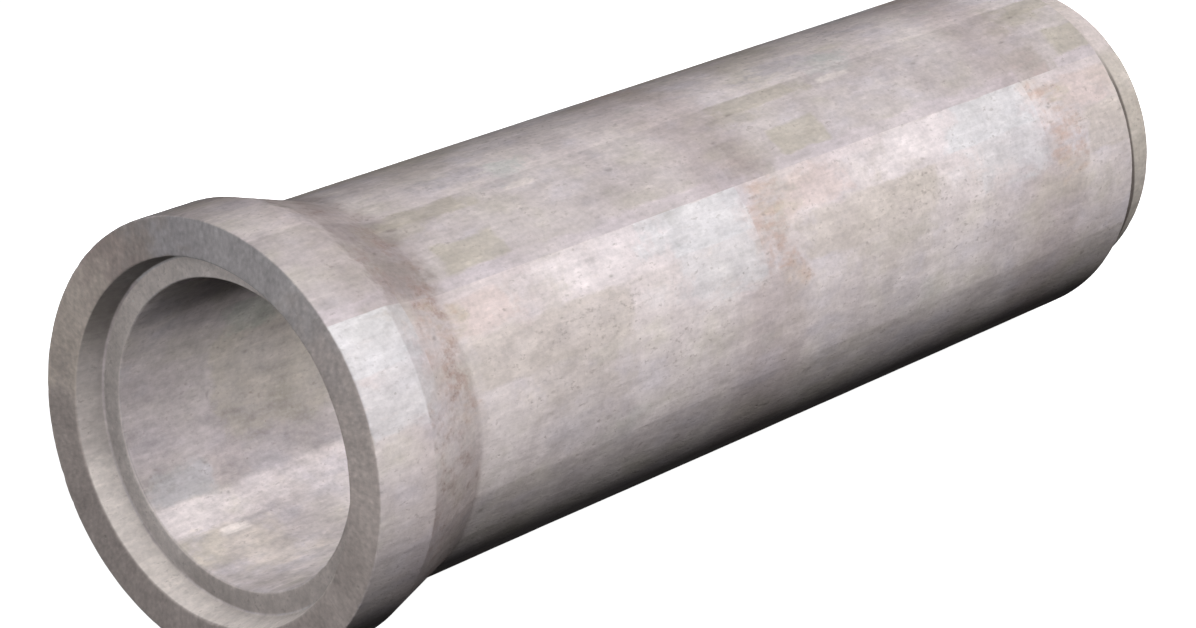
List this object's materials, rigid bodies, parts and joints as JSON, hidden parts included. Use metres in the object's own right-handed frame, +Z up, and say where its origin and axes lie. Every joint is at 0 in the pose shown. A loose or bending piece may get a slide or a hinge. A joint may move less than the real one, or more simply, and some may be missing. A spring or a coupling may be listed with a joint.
{
  "type": "concrete culvert pipe",
  "caption": "Bell-and-spigot concrete culvert pipe lying on its side, with a thick wall, a stepped socket in the bell and a short spigot at the far end.",
  "frame": {"origin": "centre of the bounding box in plan, at ground level under the pipe", "axes": "the pipe lies along X with its bell towards -X and its spigot towards +X, +Z up; its axis leans 1.2 degrees down towards +X because the wider bell and the barrel's far end both rest on the ground"},
  "size_m": [2.6458, 0.8698, 0.8726],
  "materials": {
    "concrete": "cast concrete, matt, stained and weathered"
  },
  "bodies": {
    "root": {"pipe": "concrete"}
  },
  "joints": []
}
